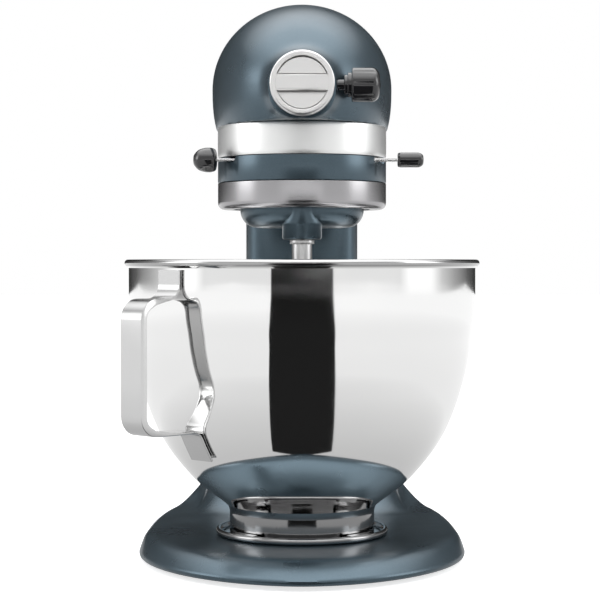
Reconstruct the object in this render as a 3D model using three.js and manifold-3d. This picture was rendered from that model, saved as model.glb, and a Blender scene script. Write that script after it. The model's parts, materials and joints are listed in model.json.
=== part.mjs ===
// A tilt-head stand mixer: a cast base and column carry a tilting motor head with a planetary beater drive, and a
// polished bowl twists into a clamp plate on the base. Millimetres, +Z up, the front of the mixer faces -Y.
import * as THREE from "three";
import { mergeVertices } from "three/addons/utils/BufferGeometryUtils.js";
import Module from "manifold-3d";

const wasm = await Module();
wasm.setup();

// ---------------------------------------------------------------- driving dimensions
// Inside this file Y = 0 is the axis of the bowl and of the planetary drive; the finished group is centred in depth.
const GAP = 0.3; // clearance between pieces that touch
const BASE = { front: -118, rear: 234, halfWidth: 105, plateau: 17, wall: 5, lift: 3, seam: 62 };
const COLUMN = { middle: 158, front: 123, rear: 207, halfWidth: 39.8, top: 229.3, shoulder: 196 };
const PIN = { y: 182, z: 226, radius: 5, knuckle: 14, cheek: 16.5, slot: 22.8, reach: 37 };
const TILT = THREE.MathUtils.degToRad(42);
const HEAD = {
  planHalfWidth: 54.5, // band and gear case, seen from above
  floor: 243,
  bandLow: 259,
  bandHigh: 279,
  axis: 306, // height of the widest section and of the motor shaft
  halfWidth: 59.5,
  rise: 56, // from the axis to the crown
  sag: 60, // from the axis to the foot of the section, which the band cuts off
  squareness: 3, // of the section below the axis; 2 is an ellipse
  nose: -66,
  noseMiddle: 50, // where the nose dome reaches its full section
  tailMiddle: 128,
  tail: 234,
  split: 186, // where the rear cover starts
  wall: 3.5,
};
const HUB = { z: 300, bore: 16, boss: 20.6, face: -70.5, cover: 19.7 };
const KNOB = { y: -64, z: 300 };
const ORBIT = 28; // beater shaft from the planetary axis
const RING_GEAR = { teeth: 40, module: 2 };
const PLANET_GEAR = { teeth: 12, module: 2 };
const CENTRE_GEAR = { teeth: 44, module: 1.5, low: 262, high: 270 };
const WHEEL_PINION = { teeth: 14, module: 1.5 };
const WORM = { starts: 2, radius: 6.5, module: 1.9, core: 4.9 };
const WORM_WHEEL = { teeth: 20, width: 9 };
const CENTRE_BEVEL = { teeth: 24, module: 1.6 };
const HUB_BEVEL = { teeth: 18, module: 1.6 };
const WHEEL_X = WORM.radius + (WORM_WHEEL.teeth * WORM.module) / 2;
const MESH_REACH = ((CENTRE_GEAR.teeth + WHEEL_PINION.teeth) * CENTRE_GEAR.module) / 2;
const WHEEL_Y = Math.sqrt(MESH_REACH ** 2 - WHEEL_X ** 2);
const LEVER = { x: 30, y: -25, z: 256.6, thick: 2.3 };
const BOWL = { top: 194, wall: 1.2, foot: 46.7, seat: 18.8, sides: 24 };
const HANDLE = { thick: 1.8, wide: 19, bearing: 225 }; // bearing in degrees from +X about the bowl's axis

// ---------------------------------------------------------------- materials
const finish = (color, roughness, metalness) => new THREE.MeshStandardMaterial({ color, roughness, metalness });
const paint = finish(0x3d5566, 0.32, 0.45);
const polished = finish(0xdfe0e0, 0.08, 1);
const satin = finish(0xb9bab8, 0.3, 1);
const cast = finish(0x9a9c9d, 0.5, 1);
const steel = finish(0x8b8e90, 0.35, 1);
const black = finish(0x101012, 0.28, 0);
const rubber = finish(0x1b1b1c, 0.8, 0);
const nylon = finish(0xd8d2bd, 0.5, 0);
const copper = finish(0xb4683a, 0.35, 1);
const carbon = finish(0x2c2c2e, 0.6, 0);

// ---------------------------------------------------------------- solids
const mixer = new THREE.Group();

// A manifold-3d solid from a closed three.js geometry, faces turned out.
function solid(geometry) {
  const bare = geometry.index ? geometry.toNonIndexed() : geometry.clone();
  bare.deleteAttribute("normal");
  bare.deleteAttribute("uv");
  const merged = mergeVertices(bare, 1e-4);
  const triVerts = new Uint32Array(merged.index.array);
  const make = (faces) =>
    new wasm.Manifold(new wasm.Mesh({ numProp: 3, vertProperties: merged.attributes.position.array, triVerts: faces }));
  const made = make(triVerts);
  if (made.volume() >= 0) return made;
  for (let i = 0; i < triVerts.length; i += 3) {
    [triVerts[i + 1], triVerts[i + 2]] = [triVerts[i + 2], triVerts[i + 1]];
  }
  return make(triVerts);
}

// Adds a solid to the mixer as a named mesh.
function add(name, shape, material) {
  const mesh = shape.getMesh();
  const step = mesh.numProp;
  const points = new Float32Array(mesh.numVert * 3);
  for (let i = 0; i < mesh.numVert; i++) {
    points.set(mesh.vertProperties.subarray(i * step, i * step + 3), i * 3);
  }
  const geometry = new THREE.BufferGeometry();
  geometry.setAttribute("position", new THREE.BufferAttribute(points, 3));
  geometry.setIndex(new THREE.BufferAttribute(mesh.triVerts, 1));
  geometry.computeVertexNormals();
  const node = new THREE.Mesh(geometry, material);
  node.name = name;
  mixer.add(node);
  return shape;
}

// Turns a geometry made along +Y so that it runs along the named axis, then places that axis.
function along(axis, geometry, a, b) {
  if (axis === "x") return geometry.rotateZ(-Math.PI / 2).translate(0, a, b);
  if (axis === "z") return geometry.rotateX(Math.PI / 2).translate(a, b, 0);
  return geometry.translate(a, 0, b);
}

// A round bar or cone from start to end along an axis that passes through the point (a, b).
function rod(axis, radius, start, end, a, b, sides = 24, endRadius = radius) {
  const bar = new THREE.CylinderGeometry(endRadius, radius, end - start, sides);
  return solid(along(axis, bar.translate(0, (start + end) / 2, 0), a, b));
}

// A turned piece: [radius, position] points of a closed profile, in order.
function turned(axis, profile, a, b, sides = 36) {
  const points = [...profile, profile[0]].map(([radius, place]) => new THREE.Vector2(radius, place));
  return solid(along(axis, new THREE.LatheGeometry(points, sides), a, b));
}

function box(x0, x1, y0, y1, z0, z1) {
  const block = new THREE.BoxGeometry(x1 - x0, y1 - y0, z1 - z0);
  return solid(block.translate((x0 + x1) / 2, (y0 + y1) / 2, (z0 + z1) / 2));
}

// A closed outline in the XY plane, raised from low to high.
function prism(outline, low, high) {
  const shape = new THREE.Shape(outline.map(([x, y]) => new THREE.Vector2(x, y)));
  const raised = new THREE.ExtrudeGeometry(shape, { depth: high - low, bevelEnabled: false });
  return solid(raised.translate(0, 0, low));
}

// A skin through rings of equal length. Capped at both ends, or joined last to first when it is a tube wall.
function skin(rings, joined = false) {
  const count = rings[0].length;
  const points = rings.flat();
  const faces = [];
  const spans = joined ? rings.length : rings.length - 1;
  for (let level = 0; level < spans; level++) {
    const here = level * count;
    const next = ((level + 1) % rings.length) * count;
    for (let i = 0; i < count; i++) {
      const j = (i + 1) % count;
      faces.push(here + i, here + j, next + j, here + i, next + j, next + i);
    }
  }
  if (!joined) {
    for (const [level, turn] of [[0, 1], [rings.length - 1, 0]]) {
      const middle = new THREE.Vector3();
      rings[level].forEach((point) => middle.addScaledVector(point, 1 / count));
      points.push(middle);
      const hub = points.length - 1;
      for (let i = 0; i < count; i++) {
        const a = level * count + i;
        const b = level * count + ((i + 1) % count);
        faces.push(...(turn ? [hub, b, a] : [hub, a, b]));
      }
    }
  }
  const geometry = new THREE.BufferGeometry().setFromPoints(points);
  geometry.setIndex(faces);
  return solid(geometry);
}

// The outline of a rounded shape in plan, as points round its middle: half width, reach to the front and to the
// rear, and how square the front and rear halves are.
function plan(sides, halfWidth, middle, front, rear, squareFront, squareRear) {
  const points = [];
  for (let i = 0; i < sides; i++) {
    const turn = (2 * Math.PI * i) / sides;
    const atFront = Math.sin(turn) < 0;
    const power = 2 / (atFront ? squareFront : squareRear);
    const reach = atFront ? front : rear;
    const x = halfWidth * Math.sign(Math.cos(turn)) * Math.abs(Math.cos(turn)) ** power;
    const y = middle + reach * Math.sign(Math.sin(turn)) * Math.abs(Math.sin(turn)) ** power;
    points.push([x, y]);
  }
  return points;
}

const raise = (outline, z) => outline.map(([x, y]) => new THREE.Vector3(x, y, z));

// ---------------------------------------------------------------- base
const BASE_SIDES = 32;
const baseEdge = plan(BASE_SIDES, BASE.halfWidth, 0, -BASE.front, BASE.rear, 1.85, 2.7);
const seamEdge = plan(BASE_SIDES, 62, COLUMN.middle, 50, 50, 2.6, 2.6);

// Height of the base's upper face, from how far a point lies inside the outer edge and outside the column.
function baseHeight(fromEdge, fromColumn, bearing) {
  const towardsFront = Math.max(0, -Math.sin(bearing));
  const towardsSide = Math.abs(Math.cos(bearing));
  const spread = 50 + 60 * towardsSide * (1 - 0.75 * towardsFront);
  const flare = Math.max(0, 1 - fromColumn / spread) ** 2.2;
  const sweep = BASE.plateau + (BASE.seam - BASE.plateau) * flare;
  const slope = 7 + 1.15 * fromEdge;
  const sharpness = 5;
  return -sharpness * Math.log(Math.exp(-sweep / sharpness) + Math.exp(-slope / sharpness));
}

const SPREAD_STEPS = [0, 0.08, 0.2, 0.36, 0.55, 0.76, 0.88, 0.95, 1];
const outerRings = SPREAD_STEPS.map((share) =>
  baseEdge.map(([x, y], i) => {
    const [cx, cy] = seamEdge[i];
    const reach = Math.hypot(x - cx, y - cy);
    const bearing = Math.atan2(y - cy, x - cx);
    const height = share === 0 ? BASE.seam : baseHeight(reach * (1 - share), reach * share, bearing);
    return new THREE.Vector3(cx + (x - cx) * share, cy + (y - cy) * share, height);
  }),
);
const shrink = (outline, by) =>
  outline.map(([x, y]) => {
    const length = Math.hypot(x, y - 58);
    return [x * (1 - by / length), 58 + (y - 58) * (1 - by / length)];
  });
const footLine = shrink(baseEdge, 1.5);
const innerRings = outerRings
  .slice(0, -1)
  .reverse()
  .map((ring) =>
    ring.map((point, i) => {
      const [cx, cy] = [0, 58];
      const inward = 1 - BASE.wall / Math.hypot(point.x - cx, point.y - cy);
      const seam = point.z > BASE.seam - 0.01;
      return new THREE.Vector3(
        cx + (point.x - cx) * (seam ? 0.9 : inward),
        seam ? COLUMN.middle + (point.y - COLUMN.middle) * 0.9 : cy + (point.y - cy) * inward,
        Math.min(point.z, BASE.seam) - (seam ? 0 : BASE.wall),
      );
    }),
  );
const footRings = [raise(baseEdge, BASE.lift + 2.5), raise(footLine, BASE.lift), raise(shrink(baseEdge, 5), BASE.lift)];
const baseShell = skin([...outerRings, ...footRings, ...innerRings], true);
const PLATE_SCREWS = [90, 210, 330].map((degrees) => {
  const turn = THREE.MathUtils.degToRad(degrees);
  return [34 * Math.cos(turn), 34 * Math.sin(turn)];
});
const screwHoles = PLATE_SCREWS.map(([x, y]) => rod("z", 2.3, 6, 30, x, y, 12));
add("base_casting", screwHoles.reduce((left, hole) => left.subtract(hole), baseShell), paint);

add("bottom_cover", prism(shrink(baseEdge, 15), BASE.lift + 0.5, BASE.lift + 2.5), black);
const FEET = [[-64, -52], [64, -52], [-72, 120], [72, 120], [0, 200]];
FEET.forEach(([x, y], i) => {
  add(`rubber_foot_${i + 1}`, turned("z", [[0, 0], [8, 0], [9.5, 1], [9.5, 3.2], [0, 3.2]], x, y, 24), rubber);
});

// ---------------------------------------------------------------- column
// Rounded rectangle round the column at a height, drawn in by `inset`; the foot flares out to meet the base.
function columnRing(z, inset) {
  const rise = Math.max(0, 1 - (z - BASE.seam) / 70);
  const flare = rise ** 2.2;
  const front = THREE.MathUtils.lerp(COLUMN.front, 108, flare) + inset;
  const rear = THREE.MathUtils.lerp(COLUMN.rear, 208, flare) - inset;
  const halfWidth = THREE.MathUtils.lerp(COLUMN.halfWidth, 62, flare) - inset;
  const square = THREE.MathUtils.lerp(5, 2.6, flare);
  const middle = (front + rear) / 2;
  return raise(plan(28, halfWidth, middle, middle - front, rear - middle, square, square), z);
}

// Outline in the YZ plane, extruded across the mixer from -x to +x.
function slab(outline, halfWidth) {
  const raised = prism(outline, -halfWidth, halfWidth);
  return raised.rotate([90, 0, 90]);
}

const heights = [BASE.seam + GAP, 69, 79, 94, 125];
const columnOuter = skin([...heights, 246].map((z) => columnRing(z, 0)));
const columnInner = skin([60, ...heights.slice(1), COLUMN.shoulder].map((z) => columnRing(z, 6)));

// What the tilting head never reaches: below the shoulder, an arc about the pin, then a slope to the rear.
function columnTop() {
  const outline = [[100, 50], [100, COLUMN.top]];
  const first = Math.PI - Math.asin((COLUMN.top - PIN.z) / PIN.cheek);
  const last = Math.PI / 2 - TILT;
  const steps = 10;
  for (let i = 0; i <= steps; i++) {
    const turn = THREE.MathUtils.lerp(first, last, i / steps);
    outline.push([PIN.y + PIN.cheek * Math.cos(turn), PIN.z + PIN.cheek * Math.sin(turn)]);
  }
  const [y, z] = outline[outline.length - 1];
  outline.push([230, z - (230 - y) * Math.tan(TILT)], [230, 50]);
  return outline;
}

const pinBore = rod("x", PIN.radius + GAP, -PIN.reach - GAP, PIN.reach + GAP, PIN.y, PIN.z);
const slot = box(-PIN.slot, PIN.slot, PIN.y - 17.5, PIN.y + 24, PIN.z - 15.5, 260);
const STOP = { y: 143, radius: 3.2 };
const column = columnOuter
  .intersect(slab(columnTop(), 70))
  .subtract(columnInner)
  .subtract(slot)
  .subtract(pinBore)
  .subtract(rod("z", STOP.radius + GAP, 212, 240, 0, STOP.y, 16))
  .subtract(rod("y", 5.3, 190, 220, 0, 80, 20));
add("column", column, paint);
add("hinge_pin", rod("x", PIN.radius, -PIN.reach, PIN.reach, PIN.y, PIN.z), steel);
const screwSlot = (y, z) => box(-STOP.radius, STOP.radius, y - 0.5, y + 0.5, z - 1, z + 1);
const stopScrew = rod("z", STOP.radius, 213, COLUMN.top, 0, STOP.y, 16).subtract(screwSlot(STOP.y, COLUMN.top));
add("height_screw", stopScrew, steel);
add("cord_gland", turned("y", [[3.4, 197], [5, 197], [5, 208], [8.5, 208], [7.5, 213], [3.4, 213]], 0, 80, 20), rubber);

// ---------------------------------------------------------------- bowl clamp
const PLATE = { low: BASE.plateau + GAP, floor: 18.5, rim: 21.6, radius: 55.5 };
const LUGS = [45, 135, 225, 315];
function sector(inner, outer, middle, spread, low, high) {
  const outline = [];
  const steps = 4;
  for (const [radius, way] of [[outer, 1], [inner, -1]]) {
    for (let i = 0; i <= steps; i++) {
      const turn = THREE.MathUtils.degToRad(middle + way * spread * ((2 * i) / steps - 1));
      outline.push([radius * Math.cos(turn), radius * Math.sin(turn)]);
    }
  }
  return prism(outline, low, high);
}
const plateProfile = [
  [0, PLATE.low], [54, PLATE.low], [PLATE.radius, 18.6], [PLATE.radius, 20.4],
  [54.3, PLATE.rim], [52.8, PLATE.rim], [52, PLATE.floor], [0, PLATE.floor],
];
let plate = turned("z", plateProfile, 0, 0, 36);
LUGS.forEach((turn) => (plate = plate.add(sector(48.4, 53.4, turn, 10, 20.7, PLATE.rim))));
PLATE_SCREWS.forEach(([x, y]) => (plate = plate.subtract(rod("z", 2.3, 10, 30, x, y, 12))));
add("bowl_clamp_plate", plate, polished);
const screwProfile = [[0, 8], [2, 8], [2, 18.8], [4, 18.8], [3.2, 20.6], [0, 20.6]];
PLATE_SCREWS.forEach(([x, y], i) => add(`plate_screw_${i + 1}`, turned("z", screwProfile, x, y, 12), steel));

// ---------------------------------------------------------------- bowl
// Outside radius of the bowl wall at a height: a cylinder above, running into a deep rounded bottom.
const BOWL_DEPTH = [[111.3, 188], [111, 162], [107.2, 130], [99, 99.6], [84, 70], [62, 47], [46.7, 35.5]];
const bowlOutside = BOWL_DEPTH.map(([r, z]) => [r, z]);
const bowlInside = BOWL_DEPTH.map(([r, z]) => [r - BOWL.wall, z + 0.5]);
const bowlRim = [[114, 189.6], [114, 192.2], [112, BOWL.top], [110.1, 192.6]];
const bowlWall = [[0, 31.4], ...bowlOutside.reverse(), ...bowlRim, ...bowlInside, [0, 33]];
add("bowl", turned("z", bowlWall, 0, 0, BOWL.sides), polished);

// Foot ring welded under the bowl, with the lugs that turn under the clamp plate's tabs.
const footRing = [[45.1, BOWL.seat], [BOWL.foot, BOWL.seat], [BOWL.foot, 35.1], [45.1, 35]];
let foot = turned("z", footRing, 0, 0, BOWL.sides);
LUGS.forEach((turn) => (foot = foot.add(sector(46, 51.4, turn, 6, BOWL.seat + 0.1, 20.2))));
add("bowl_foot", foot, polished);

// A flat strip bent along a path in a vertical plane that passes through the bowl's axis.
function strap(path, thick, wide) {
  const left = [];
  const right = [];
  path.forEach(([r, z], i) => {
    const [r0, z0] = path[Math.max(0, i - 1)];
    const [r1, z1] = path[Math.min(path.length - 1, i + 1)];
    const length = Math.hypot(r1 - r0, z1 - z0);
    const [nr, nz] = [-(z1 - z0) / length, (r1 - r0) / length];
    left.push([r + (nr * thick) / 2, z + (nz * thick) / 2]);
    right.push([r - (nr * thick) / 2, z - (nz * thick) / 2]);
  });
  const bent = prism([...left, ...right.reverse()], -wide / 2, wide / 2).rotate([90, 0, 0]);
  return bent.rotate([0, 0, HANDLE.bearing]);
}
const corner = (r, z, radius, from, to) =>
  [0, 0.33, 0.67, 1].map((share) => {
    const turn = THREE.MathUtils.degToRad(from + (to - from) * share);
    return [r + radius * Math.cos(turn), z + radius * Math.sin(turn)];
  });
const handlePath = [
  [112.8, 187.5], ...corner(121.8, 178.5, 9, 180, 270), ...corner(130.5, 158, 11.5, 90, 0),
  ...corner(130.5, 101, 11.5, 0, -90), ...corner(101.4, 81.5, 8, 90, 150), [90.6, 78], [86.3, 71],
];
add("bowl_handle", strap(handlePath, HANDLE.thick, HANDLE.wide), polished);

// ---------------------------------------------------------------- gears
const involute = (angle) => Math.tan(angle) - angle;
const PRESSURE = THREE.MathUtils.degToRad(20);

// Outline of a gear with involute flanks; `slack` is taken off each flank at the pitch circle.
function gearOutline(teeth, module, addendum, dedendum, slack, phase = 0) {
  const pitch = (teeth * module) / 2;
  const base = pitch * Math.cos(PRESSURE);
  const half = (radius) => {
    const angle = Math.acos(Math.min(1, base / radius));
    return (Math.PI * module) / 4 / pitch - slack / pitch + involute(PRESSURE) - involute(angle);
  };
  const radii = teeth > 17 ? [pitch - dedendum, pitch + addendum] : [pitch - dedendum, pitch, pitch + addendum];
  const outline = [];
  for (let tooth = 0; tooth < teeth; tooth++) {
    const middle = phase + (2 * Math.PI * tooth) / teeth;
    const flank = radii.map((radius) => [radius, half(radius)]);
    for (const [radius, turn] of flank) outline.push([radius, middle - turn]);
    for (const [radius, turn] of flank.reverse()) outline.push([radius, middle + turn]);
  }
  return outline;
}
const polar = (outline, x, y) => outline.map(([r, turn]) => [x + r * Math.cos(turn), y + r * Math.sin(turn)]);

// A bevel gear whose teeth point at the apex (0, 0, HUB.z); `away` is the direction of its own axis from there.
function bevel(gear, mate, phase, axis) {
  const pitch = (gear.teeth * gear.module) / 2;
  const depth = (mate.teeth * mate.module) / 2;
  const slope = Math.atan2(pitch, depth);
  const outline = gearOutline(gear.teeth, gear.module, 1.2, 1.7, 0.32, phase);
  const ring = (scale) =>
    outline.map(([r, turn]) => {
      const height = r - pitch;
      const radius = scale * (pitch + height * Math.cos(slope));
      const place = -scale * (depth - height * Math.sin(slope));
      return new THREE.Vector3(radius * Math.cos(turn), radius * Math.sin(turn), place);
    });
  const shape = skin([ring(1), ring(0.7)]);
  const turned = axis === "y" ? shape.rotate([-90, 0, 0]) : shape;
  return turned.translate([0, 0, HUB.z]);
}

// ---------------------------------------------------------------- planetary drive
const ringTeeth = polar(gearOutline(RING_GEAR.teeth, RING_GEAR.module, 2.3, 2, -0.15, -Math.PI / 2), 0, 0);
const ringBlank = turned("z", [[0, 231.4], [43.6, 231.4], [43.6, 242.7], [0, 242.7]], 0, 0, 36);
add("internal_ring_gear", ringBlank.subtract(prism(ringTeeth, 230, 244)), steel);

const drip = [
  [45.6, 242.7], [54.1, 242.7], [54.1, 230.6], [53.1, 227.6], [50.5, 226], [43.4, 226], [43.4, 227.6], [45.6, 229],
];
add("drip_ring", turned("z", drip, 0, 0, 36), polished);

const dome = [
  [0, 214.4], [28.8, 214.4], [34.2, 216], [38.2, 219.8], [39.8, 225.2], [39.8, 229], [37, 230.6], [8, 230.6],
  [8, 233.6], [0, 233.6],
];
const shaftBoss = [[0, 206.4], [11.6, 206.4], [12.4, 207.4], [12.4, 216], [13.4, 217], [10.4, 225], [0, 225]];
const SHAFT = { radius: 6.35, low: 150, high: 241.8, bore: 6.7 };
const planetary = turned("z", dome, 0, 0, 36)
  .add(turned("z", shaftBoss, 0, -ORBIT, 28))
  .subtract(rod("z", SHAFT.bore, 200, 240, 0, -ORBIT, 24))
  .subtract(rod("z", 6.3, 220, 240, 0, 0, 24));
add("planetary", planetary, paint);
add("beater_collar", turned("z", [[SHAFT.bore, 203.6], [7.7, 203.6], [7.7, 206.1], [SHAFT.bore, 206.1]], 0, -ORBIT, 24), satin);

const pinHole = (radius) => rod("x", radius, -20, 20, -ORBIT, 161, 12);
const beater = [[0, SHAFT.low], [5.4, SHAFT.low], [SHAFT.radius, SHAFT.low + 1], [SHAFT.radius, SHAFT.high], [0, SHAFT.high]];
add("beater_shaft", turned("z", beater, 0, -ORBIT, 28).subtract(pinHole(1.9)), satin);
add("beater_cross_pin", rod("x", 1.6, -10.5, 10.5, -ORBIT, 161, 12), steel);
const pinionOutline = polar(
  gearOutline(PLANET_GEAR.teeth, PLANET_GEAR.module, 1.6, 2.4, 0.3, -Math.PI / 2), 0, -ORBIT,
);
add("beater_pinion", prism(pinionOutline, 234, 241.4).subtract(rod("z", SHAFT.bore, 230, 250, 0, -ORBIT, 24)), steel);

// ---------------------------------------------------------------- gear train above the planetary
const wheelBearing = Math.atan2(WHEEL_Y, WHEEL_X);
const bevelMiddle = HUB.z - (HUB_BEVEL.teeth * HUB_BEVEL.module) / 2;
add("centre_shaft", rod("z", 6, 220.4, 294, 0, 0, 24), steel);
const centreOutline = polar(
  gearOutline(CENTRE_GEAR.teeth, CENTRE_GEAR.module, 1.3, 1.8, 0.25, wheelBearing), 0, 0,
);
const shaftBore = (radius, x, y) => rod("z", radius, 200, 330, x, y, 24);
const centreGear = prism(centreOutline, CENTRE_GEAR.low, CENTRE_GEAR.high)
  .add(rod("z", 11, 259, CENTRE_GEAR.high + 2, 0, 0, 24))
  .subtract(shaftBore(6.3, 0, 0));
add("centre_gear", centreGear, steel);
const centreBevel = bevel(CENTRE_BEVEL, HUB_BEVEL, -Math.PI / 2, "z")
  .add(rod("z", 10, CENTRE_GEAR.high + 2.3, bevelMiddle + 1, 0, 0, 24))
  .subtract(shaftBore(6.3, 0, 0));
add("centre_bevel", centreBevel, steel);

const wheelPinion = polar(
  gearOutline(
    WHEEL_PINION.teeth, WHEEL_PINION.module, 1.3, 1.8, 0.25, wheelBearing + Math.PI * (1 + 1 / WHEEL_PINION.teeth),
  ),
  WHEEL_X,
  WHEEL_Y,
);
const WHEEL_SHAFT = 4;
add("wheel_shaft", rod("z", WHEEL_SHAFT, 248.4, 314, WHEEL_X, WHEEL_Y, 20), steel);
const pinionBore = shaftBore(WHEEL_SHAFT + GAP, WHEEL_X, WHEEL_Y);
add("wheel_pinion", prism(wheelPinion, 261.6, 270.6).subtract(pinionBore), steel);

// Worm wheel: its teeth lean by the lead of the worm.
const lead = WORM.starts * WORM.module;
const lean = lead / (2 * WORM.radius) / ((WORM_WHEEL.teeth * WORM.module) / 2);
const wheelRings = [-0.5, 0, 0.5].map((share) => {
  const outline = gearOutline(WORM_WHEEL.teeth, WORM.module, 1.3, 1.9, 0.25, share * WORM_WHEEL.width * lean);
  return raise(polar(outline, WHEEL_X, WHEEL_Y), HEAD.axis + share * WORM_WHEEL.width);
});
const wormWheel = skin(wheelRings)
  .add(rod("z", 8, HEAD.axis - 9, HEAD.axis, WHEEL_X, WHEEL_Y, 20))
  .subtract(pinionBore);
add("worm_wheel", wormWheel, nylon);

// Motor shaft with its worm: each ring is the same two-lobed outline, turned a little further.
function wormThread() {
  const sides = 16;
  const pitch = Math.PI * WORM.module;
  const advance = (WORM.starts * pitch) / sides;
  const crest = WORM.radius + 1.3;
  const lobe = [WORM.core, WORM.core, WORM.core, crest - 0.9, crest, crest, crest - 0.9, WORM.core];
  const rings = [];
  for (let step = -11; step <= 11; step++) {
    const ring = [];
    for (let i = 0; i < sides; i++) {
      const turn = (2 * Math.PI * (i + step - 0.5)) / sides + Math.PI / 2;
      const radius = lobe[i % lobe.length];
      ring.push(new THREE.Vector3(radius * Math.sin(turn), WHEEL_Y + step * advance, HEAD.axis + radius * Math.cos(turn)));
    }
    rings.push(ring);
  }
  return skin(rings);
}
const motorShaft = rod("y", 4, 15, 212, 0, HEAD.axis, 20).add(wormThread());
add("motor_shaft", motorShaft, steel);

const motorRing = (inner, outer, start, end, sides = 32) =>
  turned("y", [[inner, start], [outer, start], [outer, end], [inner, end]], 0, HEAD.axis, sides);
add("armature", motorRing(4.3, 22, 74, 112), copper);
add("commutator", motorRing(4.3, 13, 150, 166, 24), copper);
let fan = motorRing(4.3, 12, 124, 134, 24);
for (let blade = 0; blade < 9; blade++) {
  const turn = (360 * blade) / 9;
  const vane = box(-1, 1, 126, 134, 10, 40).rotate([0, turn, 0]).translate([0, 0, HEAD.axis]);
  fan = fan.add(vane);
}
add("cooling_fan", fan, black);
add("front_bearing", motorRing(4.3, 11, 15.5, 20.5, 24), cast);
add("rear_bearing", motorRing(4.3, 11, 202, 209, 24), cast);
const stator = motorRing(24, 42, 74, 112, 40);
add("motor_stator", stator, steel);
add("field_coil_front", motorRing(26, 38, 64, 73.6), copper);
add("field_coil_rear", motorRing(26, 38, 112.4, 121), copper);
for (const [name, side] of [["left", -1], ["right", 1]]) {
  const near = side * 13.6;
  const far = side * 30;
  const brush = box(Math.min(near, far), Math.max(near, far), 154, 162, HEAD.axis - 3, HEAD.axis + 3);
  add(`carbon_brush_${name}`, brush, carbon);
  const [a, b] = [side * 22, side * 50];
  const holder = box(Math.min(a, b), Math.max(a, b), 151, 165, HEAD.axis - 6, HEAD.axis + 6);
  add(`brush_holder_${name}`, holder.subtract(box(-31, 31, 153.7, 162.3, HEAD.axis - 3.3, HEAD.axis + 3.3)), black);
}

// ---------------------------------------------------------------- motor head
const headPlan = plan(40, HEAD.planHalfWidth, 10, 64.4, 205, 2.15, 3.2);
const inPlan = (by) =>
  headPlan.map(([x, y]) => {
    const [cx, cy] = [0, 60];
    const length = Math.hypot(x - cx, y - cy);
    const share = 1 - (by * 1.08) / length;
    return [cx + (x - cx) * share, cy + (y - cy) * share];
  });

const HEAD_SIDES = 32;

// Section of the housing across the head at a distance from the front, drawn in by `inset`.
function headRing(y, inset) {
  const ahead = THREE.MathUtils.clamp((HEAD.noseMiddle - y) / (HEAD.noseMiddle - HEAD.nose), 0, 1);
  const behind = THREE.MathUtils.clamp((y - HEAD.tailMiddle) / (HEAD.tail - HEAD.tailMiddle), 0, 1);
  const full = Math.sqrt(1 - ahead ** 2.5) * Math.sqrt(1 - behind ** 3);
  const middle = HEAD.axis - (HEAD.axis - HUB.z) * ahead ** 2;
  const ring = [];
  for (let i = 0; i < HEAD_SIDES; i++) {
    const turn = (2 * Math.PI * i) / HEAD_SIDES;
    const up = Math.sin(turn) > 0;
    const power = up ? 1 : 2 / HEAD.squareness;
    const across = Math.sign(Math.cos(turn)) * Math.abs(Math.cos(turn)) ** power;
    const rise = Math.sign(Math.sin(turn)) * Math.abs(Math.sin(turn)) ** power;
    const x = Math.max(0.4, HEAD.halfWidth * full - inset) * across;
    const z = Math.max(0.4, (up ? HEAD.rise : HEAD.sag) * full - inset) * rise;
    ring.push(new THREE.Vector3(x, y, middle + z));
  }
  return ring;
}
const easing = (from, to, steps) =>
  Array.from({ length: steps + 1 }, (_, i) => from + (to - from) * Math.sin((Math.PI / 2) * (i / steps)));
function housing(inset) {
  const front = HEAD.nose + inset + 0.2;
  const rear = HEAD.tail - inset - 0.2;
  const places = [...easing(HEAD.noseMiddle, front, 7).reverse(), ...easing(HEAD.tailMiddle, rear, 6)];
  return skin(places.map((y) => headRing(y, inset)));
}
const above = box(-90, 90, -120, 260, HEAD.bandHigh + GAP, 400);
const bossProfile = [
  [0, HUB.face], [20, HUB.face], [HUB.boss, HUB.face + 0.8], [HUB.boss + 1.4, -62], [25, -56], [31, -50], [0, -38],
];
const boss = turned("y", bossProfile, 0, HUB.z, 28);
const hubBore = rod("y", HUB.bore, -90, -20, 0, HUB.z, 24);
const knobHole = rod("x", 3.7, 10, 60, KNOB.y, KNOB.z, 16);
const hollow = housing(HEAD.wall).subtract(box(-40, 40, -80, -44, 200, 400));
const shell = housing(0).add(boss).subtract(hollow).subtract(hubBore);
const upper = shell.intersect(above).subtract(knobHole);
const rearCut = (from, to) => box(-90, 90, from, to, 200, 400);
const capHole = rod("x", 6.3, -90, 90, 158, HEAD.axis, 20);
add("upper_housing", upper.intersect(rearCut(-120, HEAD.split)).subtract(capHole), paint);
const coverScrewHole = rod("y", 2.3, 180, 250, 0, HEAD.axis, 12);
add("rear_cover", upper.intersect(rearCut(HEAD.split + GAP, 260)).subtract(coverScrewHole), paint);
const coverScrew = turned("y", [[0, 216], [2, 216], [2, 234.2], [4, 234.2], [3.4, 236], [0, 236]], 0, HEAD.axis, 12);
add("rear_cover_screw", coverScrew, steel);
for (const [name, side] of [["left", -1], ["right", 1]]) {
  const face = side * 57.6;
  const back = side * 50.5;
  add(`brush_cap_${name}`, rod("x", 5.9, Math.min(face, back), Math.max(face, back), 158, HEAD.axis, 20), black);
}

const band = prism(headPlan, HEAD.bandLow, HEAD.bandHigh).subtract(prism(inPlan(HEAD.wall), 250, 290));
add("trim_band", band, satin);

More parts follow.
